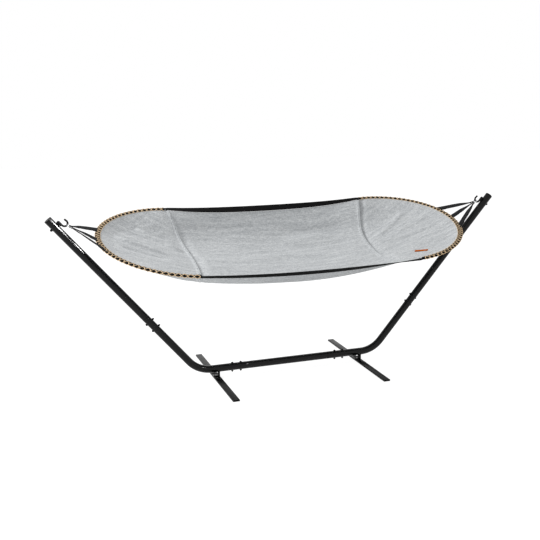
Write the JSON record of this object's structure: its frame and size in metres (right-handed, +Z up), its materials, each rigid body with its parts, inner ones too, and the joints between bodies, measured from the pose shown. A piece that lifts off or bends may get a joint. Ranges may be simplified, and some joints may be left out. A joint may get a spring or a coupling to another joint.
{
  "type": "hammock with stand",
  "caption": "Oval fabric hammock bed with laced rims and webbing straps, hung on a free-standing bent steel tube frame with flat feet.",
  "frame": {"origin": "on the floor, midway between the two hooks", "axes": "+X along the hammock towards the end with the label, +Y across it towards the higher long edge, +Z up"},
  "size_m": [3.1462, 1.0156, 1.1489],
  "materials": {
    "powder_coat": "satin",
    "black_plastic": "matte",
    "blackened_steel": "satin",
    "bright_steel": "gloss",
    "webbing": "matte",
    "fabric": "matte",
    "rim_cord": "matte",
    "lacing": "matte",
    "label": "matte"
  },
  "bodies": {
    "stand": {"base_tube": "powder_coat", "left_elbow_tube": "powder_coat", "left_upper_tube": "powder_coat", "left_end_cap": "black_plastic", "left_base_bolt_1": "blackened_steel", "left_base_bolt_2": "blackened_steel", "left_base_nut_1": "blackened_steel", "left_base_nut_2": "blackened_steel", "left_upper_bolt_1": "blackened_steel", "left_upper_bolt_2": "blackened_steel", "left_upper_nut_1": "blackened_steel", "left_upper_nut_2": "blackened_steel", "left_foot_bar": "powder_coat", "left_foot_saddle": "powder_coat", "left_foot_bolt": "blackened_steel", "left_foot_nut": "blackened_steel", "left_hook": "blackened_steel", "left_hook_washer": "blackened_steel", "left_hook_nut": "blackened_steel", "right_elbow_tube": "powder_coat", "right_upper_tube": "powder_coat", "right_end_cap": "black_plastic", "right_base_bolt_1": "blackened_steel", "right_base_bolt_2": "blackened_steel", "right_base_nut_1": "blackened_steel", "right_base_nut_2": "blackened_steel", "right_upper_bolt_1": "blackened_steel", "right_upper_bolt_2": "blackened_steel", "right_upper_nut_1": "blackened_steel", "right_upper_nut_2": "blackened_steel", "right_foot_bar": "powder_coat", "right_foot_saddle": "powder_coat", "right_foot_bolt": "blackened_steel", "right_foot_nut": "blackened_steel", "right_hook": "blackened_steel", "right_hook_washer": "blackened_steel", "right_hook_nut": "blackened_steel"},
    "bed": {"centre_panel": "fabric", "far_edge_band": "webbing", "near_edge_band": "webbing", "label_tab": "label", "left_ring": "bright_steel", "left_strap_1": "webbing", "left_strap_2": "webbing", "left_strap_3": "webbing", "left_end_panel": "fabric", "left_rim_core": "rim_cord", "left_inner_lacing": "lacing", "left_outer_lacing": "lacing", "right_ring": "bright_steel", "right_strap_1": "webbing", "right_strap_2": "webbing", "right_strap_3": "webbing", "right_end_panel": "fabric", "right_rim_core": "rim_cord", "right_inner_lacing": "lacing", "right_outer_lacing": "lacing"}
  },
  "joints": [
    {"name": "hammock_swing", "type": "hinge", "parent": "stand", "child": "bed", "pos_m": [0, 0, 1.0999], "axis": [1, 0, 0], "range_deg": [-30, 30]}
  ]
}
